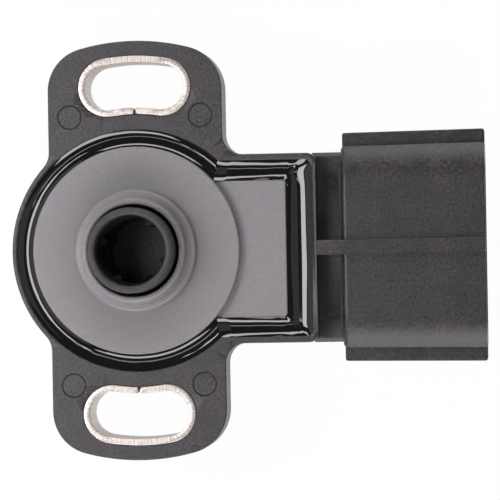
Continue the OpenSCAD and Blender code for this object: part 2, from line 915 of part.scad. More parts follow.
// A plain bore for the shaft's nose, and below it the drafted socket with the ribs and gate mark
module drive_socket() {
    socket_r = bore_r - socket_step;
    socket_top_z = bore_end_z - socket_step_h;
    translate([0, 0, rotor_rim_h - rotor_edge])
        cylinder(h = rotor_edge + eps, r1 = bore_r, r2 = bore_r + rotor_edge + eps);
    translate([0, 0, bore_end_z]) cylinder(h = rotor_rim_h - bore_end_z, r = bore_r);
    translate([0, 0, socket_top_z]) cylinder(h = socket_step_h, r1 = socket_r, r2 = bore_r);
    translate([0, 0, socket_floor_z])
        cylinder(h = socket_top_z - socket_floor_z, r1 = socket_r - socket_draft, r2 = socket_r);
    translate([0, 0, socket_floor_z - gate_depth])
        linear_extrude(gate_depth + eps)
            difference() {
                circle(gate_r);
                circle(gate_r - gate_w);
            }
}

module rotor() {
    lug_r = drum_r + lug_reach;
    color(rotor_colour) {
        difference() {
            union() {
                rotate_extrude() {
                    translate([0, drum_z]) square([drum_r, drum_t]);
                    translate([0, drum_z]) square([rotor_r, rotor_rim_h - rotor_edge - drum_z]);
                    translate([0, drum_z]) square([rotor_r - rotor_edge, rotor_rim_h - drum_z]);
                    polygon([[0, 0], [rotor_r, rotor_rim_h - rotor_edge],
                             [rotor_r - rotor_edge, rotor_rim_h], [0, rotor_rim_h]]);
                }
                translate([0, 0, drum_z])
                    linear_extrude(drum_t)
                        intersection() {
                            circle(lug_r);
                            sector(lug_angle - lug_half, lug_angle + lug_half, 2 * lug_r);
                        }
                translate([0, 0, pivot_hole_z + pivot_clear_z])
                    cylinder(h = drum_z - pivot_hole_z, r = pivot_r);
                spring_peg();
            }
            drive_socket();
        }
        drive_ribs();
        brush_stakes();
    }
}

// A peg on the drum that the spring's free end pushes against
module spring_peg() {
    rotate(coil_free_angle())
        translate([anchor_r - peg_r, -wire_d / 2 - peg_gap - peg_r, drum_top_z - eps])
            cylinder(h = spring_room / 2 + eps, r = peg_r);
}

// Two riveted-over stakes that hold the brush under the drum
module brush_stakes() {
    rotate(brush_angle)
        for (x = [collector_r, resistor_r])
            translate([x, finger_run + brush_base_l / 2, 0]) {
                translate([0, 0, drum_z - brush_t - eps]) cylinder(h = brush_t + 2 * eps, r = stake_r);
                translate([0, 0, drum_z - brush_t - stake_head_t])
                    cylinder(h = stake_head_t, r1 = stake_r, r2 = stake_r + stake_head_w);
            }
}

module rotor_bush() {
    color([0.62, 0.47, 0.30])
    difference() {
        union() {
            translate([0, 0, ledge_z - bush_flange_t])
                cylinder(h = bush_flange_t, r = seat_r + bush_flange_w);
            translate([0, 0, ledge_z - eps]) cylinder(h = bush_l + eps, r = seat_r - seat_clear);
        }
        translate([0, 0, ledge_z - bush_flange_t - run_out])
            cylinder(h = bush_l + bush_flange_t + 2 * run_out, r = bearing_r);
    }
}

module shaft_seal() {
    color([0.08, 0.08, 0.08])
    rotate_extrude()
        translate([bearing_r + seal_d / 2, (bush_top_z + seat_roof_z) / 2])
            circle(seal_d / 2);
}

// Return spring

function coil_free_angle() = coil_fixed_angle + 360 * coil_turns;

// The wire's centre line: a straight end in the housing's notch, the coil, and a straight end at the peg
function spring_path() =
    let (
        rings = ceil(rings_per_turn * coil_turns),
        fixed = [cos(coil_fixed_angle), sin(coil_fixed_angle)],
        free = [cos(coil_free_angle()), sin(coil_free_angle())],
        wire_end_r = cavity_r + notch_depth - notch_end_gap,
        bend = wire_d
    )
    concat(
        [[wire_end_r * fixed.x, wire_end_r * fixed.y, coil_top_z],
         [(coil_r + bend) * fixed.x, (coil_r + bend) * fixed.y, coil_top_z]],
        [for (i = [1 : rings - 1])
            let (
                t = i / rings,
                a = coil_fixed_angle + 360 * coil_turns * t
            )
            [coil_r * cos(a), coil_r * sin(a), coil_top_z + (coil_bottom_z - coil_top_z) * t]],
        [[(coil_r + bend) * free.x, (coil_r + bend) * free.y, coil_bottom_z],
         [anchor_r * free.x, anchor_r * free.y, coil_bottom_z]]
    );

function unit(v) = v / norm(v);

function path_direction(path, i) =
    unit(path[min(i + 1, len(path) - 1)] - path[max(i - 1, 0)]);

// The round section of a wire, in the plane across its path
function wire_ring(centre, direction, radius) =
    let (
        across = unit(cross([0, 0, 1], direction)),
        up = cross(direction, across)
    )
    [for (k = [0 : wire_sides - 1])
        let (a = 360 * k / wire_sides)
        centre + radius * (cos(a) * across + sin(a) * up)];

module swept_wire(path, radius) {
    rings = len(path);
    points = [for (i = [0 : rings - 1]) each wire_ring(path[i], path_direction(path, i), radius)];
    sides = [for (i = [0 : rings - 2], k = [0 : wire_sides - 1])
        let (
            a = i * wire_sides + k,
            b = i * wire_sides + (k + 1) % wire_sides
        )
        each [[a, b, b + wire_sides], [a, b + wire_sides, a + wire_sides]]];
    ends = [
        [for (k = [wire_sides - 1 : -1 : 0]) k],
        [for (k = [0 : wire_sides - 1]) (rings - 1) * wire_sides + k]
    ];
    polyhedron(points, concat(sides, ends));
}

module return_spring() {
    color([0.68, 0.68, 0.70])
        swept_wire(spring_path(), wire_d / 2);
}

// Brush and resistor

// A spring finger seen from its side: it slopes down from the base and curls up at its contact
module finger_section() {
    tip_r = 0.3;
    base_z = drum_z - brush_t;
    tip_z = board_top_z + film_t + contact_gap + tip_r;
    difference() {
        union() {
            polygon([[finger_run + finger_root, base_z], [finger_run + finger_root, base_z + finger_t],
                     [finger_run - finger_bend, base_z + finger_t], [0, tip_z + finger_t / 2],
                     [0, tip_z - tip_r],
                     [finger_run, base_z]]);
            translate([0, tip_z]) circle(tip_r);
        }
        translate([0, tip_z]) circle(tip_r - finger_t);
        translate([-2 * tip_r, tip_z]) square(2 * tip_r);
    }
}

module brush() {
    color(brass_colour)
    rotate(brush_angle)
        difference() {
            union() {
                translate([brush_inner_r, finger_run, drum_z - brush_t])
                    cube([brush_outer_r - brush_inner_r, brush_base_l, brush_t]);
                for (r = [collector_r, resistor_r], offset_x = finger_offsets)
                    translate([r + offset_x - finger_w / 2, 0, 0])
                        rotate([90, 0, 90])
                            linear_extrude(finger_w)
                                finger_section();
            }
            for (x = [collector_r, resistor_r])
                translate([x, finger_run + brush_base_l / 2, drum_z - brush_t - run_out])
                    cylinder(h = brush_t + 2 * run_out, r = stake_r);
        }
}

module resistor_board() {
    color([0.86, 0.84, 0.78])
    translate([0, 0, board_z])
        linear_extrude(board_t)
            difference() {
                cavity_outline(board_clear);
                circle(board_hole_r);
                stops_outline(board_clear);
            }
}

module film() {
    translate([0, 0, board_top_z]) linear_extrude(film_t) children();
}

module resistive_track() {
    color([0.13, 0.12, 0.12])
        film()
            arc_band(resistor_r, track_w, track_start, track_end);
}

module collector_track() {
    color([0.20, 0.19, 0.19])
        film()
            arc_band(collector_r, track_w, track_start, track_end);
}

// Silver prints from the tracks' ends to the pads under the terminals' feet
module conductor_traces() {
    pad = 2 * (solder_r + pad_margin);
    color([0.72, 0.72, 0.70])
        film()
            difference() {
                union() {
                    for (row = blade_rows)
                        translate([solder_x, row]) square(pad, center = true);
                    arc_band(collector_r, trace_w, track_end - 1, 360);
                    translate([collector_r, -trace_w / 2]) square([foot_x - collector_r, trace_w]);
                    for (side = [-1, 1])
                        outer_trace(side);
                }
                arc_band(resistor_r, track_w, track_start, track_end);
                arc_band(collector_r, track_w, track_start, track_end);
            }
}

// One end of the resistive track, out to the board's edge and round to its pad
module outer_trace(side) {
    pad_angle = asin(blade_pitch / trace_r);
    end = side > 0 ? track_start : track_end;
    from = side > 0 ? pad_angle : end;
    to = side > 0 ? end : 360 - pad_angle;
    arc_band(trace_r, trace_w, from, to);
    rotate(end - side * 2)
        translate([resistor_r, -trace_w / 2]) square([trace_r - resistor_r, trace_w]);
    translate([trace_r * cos(pad_angle) - trace_w / 2, side * blade_pitch - trace_w / 2])
        square([foot_x - trace_r * cos(pad_angle) + trace_w / 2, trace_w]);
}

// Terminals

// One strip from the blade's tip, through the wall and down to its foot on the board
module terminal(row) {
    tip_taper = 0.8;
    knee_z = blade_z - blade_t / 2;
    color(brass_colour)
    translate([0, row, 0]) {
        translate([knee_x, -blade_w / 2, knee_z])
            cube([blade_tip_x - tip_taper - knee_x, blade_w, blade_t]);
        translate([0, 0, knee_z])
            linear_extrude(blade_t)
                polygon([[blade_tip_x - tip_taper - eps, -blade_w / 2], [blade_tip_x, -blade_w / 4],
                         [blade_tip_x, blade_w / 4], [blade_tip_x - tip_taper - eps, blade_w / 2]]);
        translate([knee_x - blade_t, -foot_w / 2, foot_z])
            cube([blade_t, foot_w, knee_z + blade_t - foot_z]);
        translate([knee_x - blade_t, -foot_w / 2, knee_z])
            cube([2 * blade_t, foot_w, blade_t]);
        translate([foot_x, -foot_w / 2, foot_z])
            cube([foot_l - eps, foot_w, blade_t]);
    }
}

// A dome of solder over the end of a foot, flat where it wets the pad
module solder(row) {
    color([0.75, 0.75, 0.74])
    difference() {
        intersection() {
            translate([solder_x, row, foot_z - solder_sink]) sphere(solder_r);
            translate([solder_x - solder_r, row - solder_r, foot_z]) cube(2 * solder_r);
        }
        terminal(row);
    }
}

module terminal_supply() { terminal(blade_rows[2]); }
module terminal_signal() { terminal(blade_rows[1]); }
module terminal_ground() { terminal(blade_rows[0]); }
module solder_supply() { solder(blade_rows[2]); }
module solder_signal() { solder(blade_rows[1]); }
module solder_ground() { solder(blade_rows[0]); }

housing();
cover_plate();
seal_bead();
upper_sleeve();
lower_sleeve();
rotor();
rotor_bush();
shaft_seal();
return_spring();
brush();
resistor_board();
resistive_track();
collector_track();
conductor_traces();
terminal_supply();
terminal_signal();
terminal_ground();
solder_supply();
solder_signal();
solder_ground();
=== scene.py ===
"""Looks of a throttle position sensor: a black moulded housing with steel-lined slots, a grey cover
in glossy potting, a dark rotor with drive ribs, and the brass and printed parts inside."""

import math

import bmesh
import bpy
from mathutils import Matrix, Vector, noise


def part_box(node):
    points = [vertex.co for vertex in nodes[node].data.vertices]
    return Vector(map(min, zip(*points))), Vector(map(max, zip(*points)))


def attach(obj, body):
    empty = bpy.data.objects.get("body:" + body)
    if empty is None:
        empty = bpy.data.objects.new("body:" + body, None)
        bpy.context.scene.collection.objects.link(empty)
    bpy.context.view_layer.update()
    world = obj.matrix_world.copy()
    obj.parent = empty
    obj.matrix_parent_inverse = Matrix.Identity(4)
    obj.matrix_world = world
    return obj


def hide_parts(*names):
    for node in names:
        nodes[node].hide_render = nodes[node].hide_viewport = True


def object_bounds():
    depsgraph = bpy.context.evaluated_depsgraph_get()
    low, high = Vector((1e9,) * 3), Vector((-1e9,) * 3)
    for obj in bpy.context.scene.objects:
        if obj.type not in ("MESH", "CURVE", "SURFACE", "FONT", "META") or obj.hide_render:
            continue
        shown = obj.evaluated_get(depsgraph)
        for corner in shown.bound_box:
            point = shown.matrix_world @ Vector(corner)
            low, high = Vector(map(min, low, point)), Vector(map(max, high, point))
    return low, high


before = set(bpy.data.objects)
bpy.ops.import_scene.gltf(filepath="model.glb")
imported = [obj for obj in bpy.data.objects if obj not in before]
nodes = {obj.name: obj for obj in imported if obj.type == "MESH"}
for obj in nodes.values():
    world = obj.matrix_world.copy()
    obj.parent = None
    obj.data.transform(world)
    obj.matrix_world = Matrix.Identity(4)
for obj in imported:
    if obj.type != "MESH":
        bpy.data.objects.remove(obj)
cad_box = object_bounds()
mm = 0.001

# Sizes that the finish needs, in metres, as the part's source gives them
SLOT_PITCH_R = 19.0 * mm
SLOT_SWING = math.radians(9.5)
SLEEVE_OUT = 3.35 * mm
EAR_PIN = (7.55 * mm, 15.4 * mm, 1.42 * mm)
NECK_PIN = (22.2 * mm, 7.5 * mm, 0.76 * mm)
DISC_R = 11.9 * mm
DISC_TOP = 0.9 * mm
STEP_TOP = 1.85 * mm
BOSS_TOP = 3.85 * mm
CHANNEL_R = 13.85 * mm
TONGUE_HALF_W = 7.85 * mm
TONGUE_END = 17.2 * mm
TONGUE_CORNER_R = 0.4 * mm
TONGUE_TOP = -0.4 * mm
CHANNEL_HALF_W = 10.1 * mm
CHANNEL_END = 20.07 * mm
CHANNEL_CORNER_R = 0.8 * mm
POTTING_FLOOR = -1.4 * mm
PIN_MARK_FLOOR = -0.05 * mm
SHELL_START = 23.45 * mm
SHELL_HALF_W = 11.5 * mm
SHELL_FLARE = 0.2 * mm
SHELL_FALL_W = 3.0 * mm
SHELL_TOP = -0.65 * mm
MOUTH = 39.87 * mm
RAILS_FROM = 13.0 * mm
NECK_START = 20.6 * mm
NECK_HALF_W = 10.5 * mm
NEAR_CONNECTOR_RIB = 1.0 * mm
DRIVE_RIB_TOP = 3.3 * mm
BORE_R = 4.0 * mm
BORE_DEPTH = 6.0 * mm

# Radii out to which the grey cover gets painted shade round its step and round its boss
STEP_SHADE_R = 7.5 * mm
BOSS_SHADE_R = 6.2 * mm

# The potting: points across it, and its lumps as x, y, radius and height
POTTING_ACROSS = 28
POTTING_LUMPS = [
    (19.4 * mm, 8.7 * mm, 1.7 * mm, 0.16 * mm),
    (18.0 * mm, 9.5 * mm, 0.6 * mm, -0.05 * mm),
    (17.5 * mm, -9.65 * mm, 1.1 * mm, 0.05 * mm),
]

# How the black plastic's tone changes along the sensor, as from, to and the two factors: painted
# shade makes the connector darker, and it has a pale flow mark
SHELL_SHADE_AND_FLOW_BANDS = [
    # Painted shade: the connector darker than the ears
    (22.5 * mm, 24.0 * mm, 1.0, 0.74),
    (33.0 * mm, 34.2 * mm, 1.0, 1.18),
    (35.4 * mm, 36.6 * mm, 1.0, 0.85),
]

# The view of the photograph, in its pixels
PHOTO_SIDE = 500
PHOTO_SCALE = 8.75
ROTOR_PIXEL = (136.1, 250.5)
EYE_PIXEL = (520.0, 250.0)
EYE_HEIGHT = 3000.0
PHOTO_ROLL = math.radians(1.0)


# Selecting and editing

def deselect_all():
    bpy.ops.object.select_all(action="DESELECT")


def make_active(piece):
    deselect_all()
    piece.select_set(True)
    bpy.context.view_layer.objects.active = piece


def edit(piece):
    """Opens a piece in edit mode with all of it selected."""
    make_active(piece)
    bpy.ops.object.mode_set(mode="EDIT")
    bpy.ops.mesh.select_all(action="SELECT")


def leave_edit():
    bpy.ops.object.mode_set(mode="OBJECT")


def select_edges(piece, wanted):
    """In edit mode, selects the edges for which wanted is true."""
    bpy.ops.mesh.select_mode(type="EDGE")
    bpy.ops.mesh.select_all(action="DESELECT")
    shape = bmesh.from_edit_mesh(piece.data)
    for edge in shape.edges:
        edge.select = wanted(edge)
    shape.select_flush_mode()
    bmesh.update_edit_mesh(piece.data)


def is_sharp(edge, angle=math.radians(28)):
    return len(edge.link_faces) == 2 and edge.calc_face_angle(0.0) > angle


def middle_of(edge):
    return (edge.verts[0].co + edge.verts[1].co) / 2


def merged_copy(node):
    """A copy of a CAD node's mesh, with its loose triangles joined and paired into quads."""
    mesh = nodes[node].data.copy()
    mesh.materials.clear()
    piece = bpy.data.objects.new(node + "_finished", mesh)
    bpy.context.scene.collection.objects.link(piece)
    make_active(piece)
    bpy.ops.mesh.customdata_custom_splitnormals_clear()
    edit(piece)
    bpy.ops.mesh.remove_doubles(threshold=0.002 * mm)
    bpy.ops.mesh.tris_convert_to_quads(face_threshold=math.radians(0.3), shape_threshold=math.pi)
    leave_edit()
    return piece


def round_edges(piece, radius, wanted=is_sharp, steps=2):
    """Rounds the wanted edges, and marks the new faces as weaker than the flat ones beside them."""
    edit(piece)
    select_edges(piece, wanted)
    bpy.ops.mesh.bevel(offset=radius, segments=steps, profile=0.5, clamp_overlap=False,
                       face_strength_mode="ALL")
    bpy.ops.mesh.select_all(action="SELECT")
    bpy.ops.mesh.remove_doubles(threshold=0.001 * mm)
    leave_edit()


def smooth(piece, angle=50):
    """Shades a piece smooth, with its flat faces kept flat up to their rounded edges."""
    make_active(piece)
    bpy.ops.object.shade_smooth_by_angle(angle=math.radians(angle))
    weighted = piece.modifiers.new("flat faces", "WEIGHTED_NORMAL")
    weighted.keep_sharp = True
    weighted.use_face_influence = True
    bpy.ops.object.modifier_apply(modifier=weighted.name)


# Materials

def new_finish(name, colour, roughness, metallic=0.0):
    """A material and its shader, with plain values on the shader's own sockets."""
    material = bpy.data.materials.new(name)
    material.use_nodes = True
    shader = material.node_tree.nodes["Principled BSDF"]
    shader.inputs["Base Color"].default_value = (*colour, 1.0)
    shader.inputs["Roughness"].default_value = roughness
    shader.inputs["Metallic"].default_value = metallic
    return material, material.node_tree, shader


def add_node(tree, kind, **settings):
    node = tree.nodes.new(kind)
    for name, value in settings.items():
        if name in node.inputs:
            node.inputs[name].default_value = value
        else:
            setattr(node, name, value)
    return node


def grain(tree, size, detail=2.0, roughness=0.5):
    """Noise on the piece's own coordinates, with features of about the given size."""
    place = add_node(tree, "ShaderNodeTexCoord")
    pattern = add_node(tree, "ShaderNodeTexNoise",
                       Scale=1.0 / size, Detail=detail, Roughness=roughness)
    tree.links.new(place.outputs["Object"], pattern.inputs["Vector"])
    return pattern.outputs["Fac"]


def spread(tree, value, low, high, to_low, to_high):
    """Maps a value's range onto another."""
    ranged = add_node(tree, "ShaderNodeMapRange")
    ends = {"From Min": low, "From Max": high, "To Min": to_low, "To Max": to_high}
    for socket, number in ends.items():
        ranged.inputs[socket].default_value = number
    tree.links.new(value, ranged.inputs["Value"])
    return ranged.outputs["Result"]


def times(tree, first, second):
    product = add_node(tree, "ShaderNodeMath", operation="MULTIPLY")
    for socket, value in zip(product.inputs, (first, second)):
        if isinstance(value, float):
            socket.default_value = value
        else:
            tree.links.new(value, socket)
    return product.outputs["Value"]


def shade_of(tree, colour, factor):
    """The colour, made lighter or darker by a factor."""
    scaled = add_node(tree, "ShaderNodeVectorMath", operation="SCALE")
    scaled.inputs[0].default_value = colour
    tree.links.new(factor, scaled.inputs["Scale"])
    return scaled.outputs["Vector"]


def emboss(tree, shader, height, depth, strength=1.0):
    bump = add_node(tree, "ShaderNodeBump", Strength=strength, Distance=depth)
    tree.links.new(height, bump.inputs["Height"])
    tree.links.new(bump.outputs["Normal"], shader.inputs["Normal"])


def band_tone(tree, low, high, to_low, to_high):
    """A factor that changes along the sensor's length, from one place to another."""
    place = add_node(tree, "ShaderNodeTexCoord")
    split = add_node(tree, "ShaderNodeSeparateXYZ")
    tree.links.new(place.outputs["Object"], split.inputs["Vector"])
    return spread(tree, split.outputs["X"], low, high, to_low, to_high)


def moulded_plastic(name, colour, roughness, ior=1.5, mottle=0.12, grain_size=0.32 * mm,
                    depth=0.02 * mm, bands=()):
    """Moulded plastic: a cloudy colour, a fine grain and an uneven gloss, darker and duller where
    painted shade is set, and paler where painted light is set."""
    material, tree, shader = new_finish(name, colour, roughness)
    shader.inputs["IOR"].default_value = ior
    clouds = grain(tree, 2.6 * mm, detail=3.0)
    speckle = grain(tree, grain_size, detail=2.0, roughness=0.7)
    cloudy = spread(tree, clouds, 0.3, 0.7, 1.0 - 0.5 * mottle, 1.0 + 0.5 * mottle)
    speckled = spread(tree, speckle, 0.3, 0.7, 1.0 - 2 * mottle, 1.0 + 2 * mottle)
    # Painted shade darkens and roughens the plastic; painted light, below 0, makes it paler
    painted_shade_light = add_node(tree, "ShaderNodeAttribute", attribute_name="groove")
    tone = times(tree, times(tree, cloudy, speckled),
                 spread(tree, painted_shade_light.outputs["Fac"], -1.0, 1.0, 1.85, 0.15))
    # Bands along the length, which can paint shade on a stretch of the piece
    for band in bands:
        tone = times(tree, tone, band_tone(tree, *band))
    tree.links.new(shade_of(tree, colour, tone), shader.inputs["Base Color"])
    gloss = times(tree, spread(tree, speckle, 0.3, 0.7, roughness - 0.06, roughness + 0.06),
                  spread(tree, painted_shade_light.outputs["Fac"], 0.0, 1.0, 1.0, 1.8))
    tree.links.new(gloss, shader.inputs["Roughness"])
    emboss(tree, shader, speckle, depth)
    return material


def polished_resin():
    """Cured potting: black, glassy and very slightly wavy."""
    material, tree, shader = new_finish("potting_resin", (0.0022, 0.0018, 0.0018), 0.05)
    shader.inputs["IOR"].default_value = 1.70
    emboss(tree, shader, grain(tree, 1.2 * mm, detail=1.0), 0.002 * mm)
    return material


def sheared_steel(colour=(0.60, 0.535, 0.505)):
    """Bare strip steel: shear lines cross the strip's thickness, under a cloudy tone."""
    material, tree, shader = new_finish("sleeve_steel", colour, 0.42, metallic=1.0)
    along = add_node(tree, "ShaderNodeAttribute", attribute_name="along")
    lines = add_node(tree, "ShaderNodeTexNoise", noise_dimensions="1D", Scale=5.2, Detail=3.0)
    tree.links.new(along.outputs["Fac"], lines.inputs["W"])
    clouds = grain(tree, 0.5 * mm, detail=3.0)
    tone = times(tree, spread(tree, lines.outputs["Fac"], 0.3, 0.7, 0.70, 1.10),
                 spread(tree, clouds, 0.3, 0.7, 0.88, 1.12))
    tree.links.new(shade_of(tree, colour, tone), shader.inputs["Base Color"])
    emboss(tree, shader, lines.outputs["Fac"], 0.03 * mm, strength=0.4)
    return material


def metal(name, colour, roughness):
    """Plain metal with a slightly uneven polish."""
    material, tree, shader = new_finish(name, colour, roughness, metallic=1.0)
    uneven = grain(tree, 0.4 * mm, detail=3.0)
    tree.links.new(spread(tree, uneven, 0.3, 0.7, roughness - 0.08, roughness + 0.08),
                   shader.inputs["Roughness"])
    emboss(tree, shader, uneven, 0.004 * mm)
    return material


def film(name, colour, roughness):
    """Printed ink: a fine even grain."""
    material, tree, shader = new_finish(name, colour, roughness)
    speckle = grain(tree, 0.12 * mm, detail=2.0)
    tree.links.new(shade_of(tree, colour, spread(tree, speckle, 0.3, 0.7, 0.85, 1.15)),
                   shader.inputs["Base Color"])
    emboss(tree, shader, speckle, 0.006 * mm)
    return material


def dress(piece, material):
    """Gives a piece or a CAD node one material."""
    if not piece.data.materials:
        piece.data.materials.append(material)
    for slot in piece.material_slots:
        slot.link = "OBJECT"
        slot.material = material


# Pieces

def finish_piece(piece, node, body, material):
    """Puts a finished piece in place of its CAD node."""
    dress(piece, material)
    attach(piece, body)
    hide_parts(node)


def in_pin_mark(place):
    """True on the shallow round marks that the mould's ejector pins leave."""
    x, y = place.x, abs(place.y)
    on_ear = math.hypot(abs(x) - EAR_PIN[0], y - EAR_PIN[1]) < 1.1 * EAR_PIN[2]
    on_neck = math.hypot(x - NECK_PIN[0], y - NECK_PIN[1]) < 1.1 * NECK_PIN[2]
    return on_ear or on_neck


def on_level(edge, height):
    return all(abs(vertex.co.z - height) < 0.01 * mm for vertex in edge.verts)


def housing_edge(edge):
    """The housing's edges that its mould leaves rounded: those of its faces on the mating side."""
    if not is_sharp(edge) or in_pin_mark(middle_of(edge)):
        return False
    places = [vertex.co for vertex in edge.verts]
    at_mouth = all(place.x > MOUTH - 0.01 * mm for place in places)
    on_rail = all(abs(place.y) > RAILS_FROM and place.x > 0 for place in places)
    on_rib = all(abs(place.y) < NEAR_CONNECTOR_RIB and place.x > NECK_START - 0.1 * mm
                 and place.z > -0.5 * mm for place in places)
    middle = middle_of(edge)
    at_rib_root = (on_level(edge, 0.0) and abs(middle.y) < NEAR_CONNECTOR_RIB
                   and middle.x > NECK_START - 0.6 * mm)
    on_face = on_level(edge, 0.0) or on_level(edge, PIN_MARK_FLOOR)
    return not at_rib_root and (on_face or at_mouth or on_rail or on_rib)


def mark_grooves(piece, depth_at):
    """Stores for each vertex how much painted shade darkens it, from 0 to 1, or below 0 where
    painted light makes it paler."""
    groove = piece.data.attributes.new("groove", "FLOAT", "POINT")
    for vertex in piece.data.vertices:
        groove.data[vertex.index].value = depth_at(vertex.co)


def housing_groove(place):
    """Painted shade in the pin marks and in the neck's hollows, and painted light that makes the
    shell's sides paler."""
    on_neck = NECK_START < place.x < SHELL_START and abs(place.y) < NECK_HALF_W
    on_side = place.x > SHELL_START - 0.01 * mm and abs(place.y) > SHELL_HALF_W - 2.5 * mm
    # Painted shade in the pin marks' grooves
    if in_pin_mark(place) and (on_neck or place.z < PIN_MARK_FLOOR - 0.02 * mm):
        return 1.0
    # Painted light: the shell's falls and rails paler, as the side lamps light them
    if on_side and place.z < SHELL_TOP:
        return -0.30
    # Painted shade in the neck's hollows
    return 0.7 if on_neck and -4 * mm < place.z < -2.5 * mm else 0.0


def soften_falls(piece, widening=1.27):
    """Lets the shell's top start to fall a little further in, for a softer bow than the CAD's."""
    for vertex in piece.data.vertices:
        place = vertex.co
        on_top = SHELL_TOP - 1.5 * mm < place.z < SHELL_TOP + 0.01 * mm
        if place.x < SHELL_START - 0.01 * mm or not on_top:
            continue
        side = SHELL_HALF_W + SHELL_FLARE * (place.x - SHELL_START) / (MOUTH - SHELL_START)
        inward = side - abs(place.y)
        if 0 < inward < SHELL_FALL_W + 0.1 * mm:
            place.y = math.copysign(side - inward * widening, place.y)


def housing_piece():
    piece = merged_copy("housing")
    soften_falls(piece)
    round_edges(piece, 0.14 * mm, housing_edge)
    # Painted shade in the housing's recesses and painted light on the shell's sides
    mark_grooves(piece, housing_groove)
    smooth(piece)
    return piece


def step_edge(edge):
    """The outer edge of the boss's step, which shows as a soft light rim."""
    return is_sharp(edge) and on_level(edge, STEP_TOP) and middle_of(edge).xy.length > 6.3 * mm


def mouth_edge(edge):
    """The edge of the boss round its bore, another light rim."""
    return is_sharp(edge) and on_level(edge, BOSS_TOP)


def cover_edge(edge):
    levels = (DISC_TOP, STEP_TOP, TONGUE_TOP)
    return is_sharp(edge) and any(on_level(edge, level) for level in levels)


def cover_groove(place):
    """Painted shade round the feet of the boss and its step."""
    out = place.xy.length
    at_step_foot = out < STEP_SHADE_R and place.z < DISC_TOP + 0.3 * mm
    at_boss_foot = out < BOSS_SHADE_R and -0.1 * mm < place.z - STEP_TOP < 0.3 * mm
    # Painted shade at the feet of the step and of the boss
    return 0.24 if at_step_foot else 0.10 if at_boss_foot else 0.0


def cover_piece():
    piece = merged_copy("cover_plate")
    round_edges(piece, 0.30 * mm, step_edge, steps=4)
    round_edges(piece, 0.22 * mm, mouth_edge, steps=3)
    round_edges(piece, 0.18 * mm, cover_edge, steps=3)
    # Painted shade round the cover's step and boss
    mark_grooves(piece, cover_groove)
    smooth(piece)
    return piece


def rotor_groove(place):
    """Painted shade in the drive socket, darker towards its floor."""
    inside = place.xy.length < 1.01 * BORE_R and place.z > -0.5 * mm
    # Painted shade, deepest towards the socket's floor and over its ribs
    return max(0.0, min(1.0, (BORE_DEPTH - place.z) / (2 * mm))) if inside else 0.0


def rotor_piece():
    piece = merged_copy("rotor")
    round_edges(piece, 0.08 * mm, lambda edge: is_sharp(edge) and on_level(edge, DRIVE_RIB_TOP))
    # Painted shade in the drive socket
    mark_grooves(piece, rotor_groove)
    smooth(piece)
    return piece


def along_slot(place):
    """How far round its slot a place lies, in millimetres from the seam."""
    x, y = place.x, abs(place.y)
    angle = math.atan2(x, y)
    if abs(angle) < SLOT_SWING:
        radius = math.hypot(x, y)
        run = angle * SLOT_PITCH_R
        far = SLOT_SWING * SLOT_PITCH_R * 2 + math.pi * SLEEVE_OUT
        return (run if radius < SLOT_PITCH_R else far - run) / mm
    side = math.copysign(1.0, angle)
    centre = Vector((math.sin(SLOT_SWING) * side, math.cos(SLOT_SWING))) * SLOT_PITCH_R
    turn = math.atan2((x - centre.x) * side, -(y - centre.y))
    return side * (SLOT_SWING * SLOT_PITCH_R + turn * SLEEVE_OUT) / mm


def sleeve_piece(node):
    piece = merged_copy(node)
    ends = [corner[2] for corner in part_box(node)]
    round_edges(piece, 0.05 * mm,
                lambda edge: is_sharp(edge) and any(on_level(edge, height) for height in ends))
    along = piece.data.attributes.new("along", "FLOAT", "POINT")
    for vertex in piece.data.vertices:
        along.data[vertex.index].value = along_slot(vertex.co)
    smooth(piece)
    return piece


def potting_sections():
    """Pairs of points round the potting: on the cover's edge and on the channel's wall."""

    def arc(centre, radius, angle):
        return Vector((centre[0] + radius * math.cos(angle), centre[1] + radius * math.sin(angle)))

    def line(start, finish, steps):
        for i in range(steps):
            t = i / steps
            yield start[0].lerp(finish[0], t), start[1].lerp(finish[1], t)

    turn_in = math.asin(TONGUE_HALF_W / DISC_R)
    turn_out = math.asin(CHANNEL_HALF_W / CHANNEL_R)
    corner_in = (TONGUE_END - TONGUE_CORNER_R, TONGUE_HALF_W - TONGUE_CORNER_R)
    corner_out = (CHANNEL_END - CHANNEL_CORNER_R, CHANNEL_HALF_W - CHANNEL_CORNER_R)

    def corner(side, angle):
        return (arc((corner_in[0], side * corner_in[1]), TONGUE_CORNER_R, angle),
                arc((corner_out[0], side * corner_out[1]), CHANNEL_CORNER_R, angle))

    def round_disc(t):
        return (arc((0, 0), DISC_R, turn_in + t * (2 * math.pi - 2 * turn_in)),
                arc((0, 0), CHANNEL_R, turn_out + t * (2 * math.pi - 2 * turn_out)))

    right = math.pi / 2
    pairs = [round_disc(i / 260) for i in range(260)]
    pairs += line(round_disc(1.0), corner(-1, -right), 44)
    pairs += [corner(-1, -right + right * i / 10) for i in range(10)]
    pairs += line(corner(-1, 0.0), corner(1, 0.0), 70)
    pairs += [corner(1, right * i / 10) for i in range(10)]
    pairs += line(corner(1, right), round_disc(0.0), 44)
    return pairs


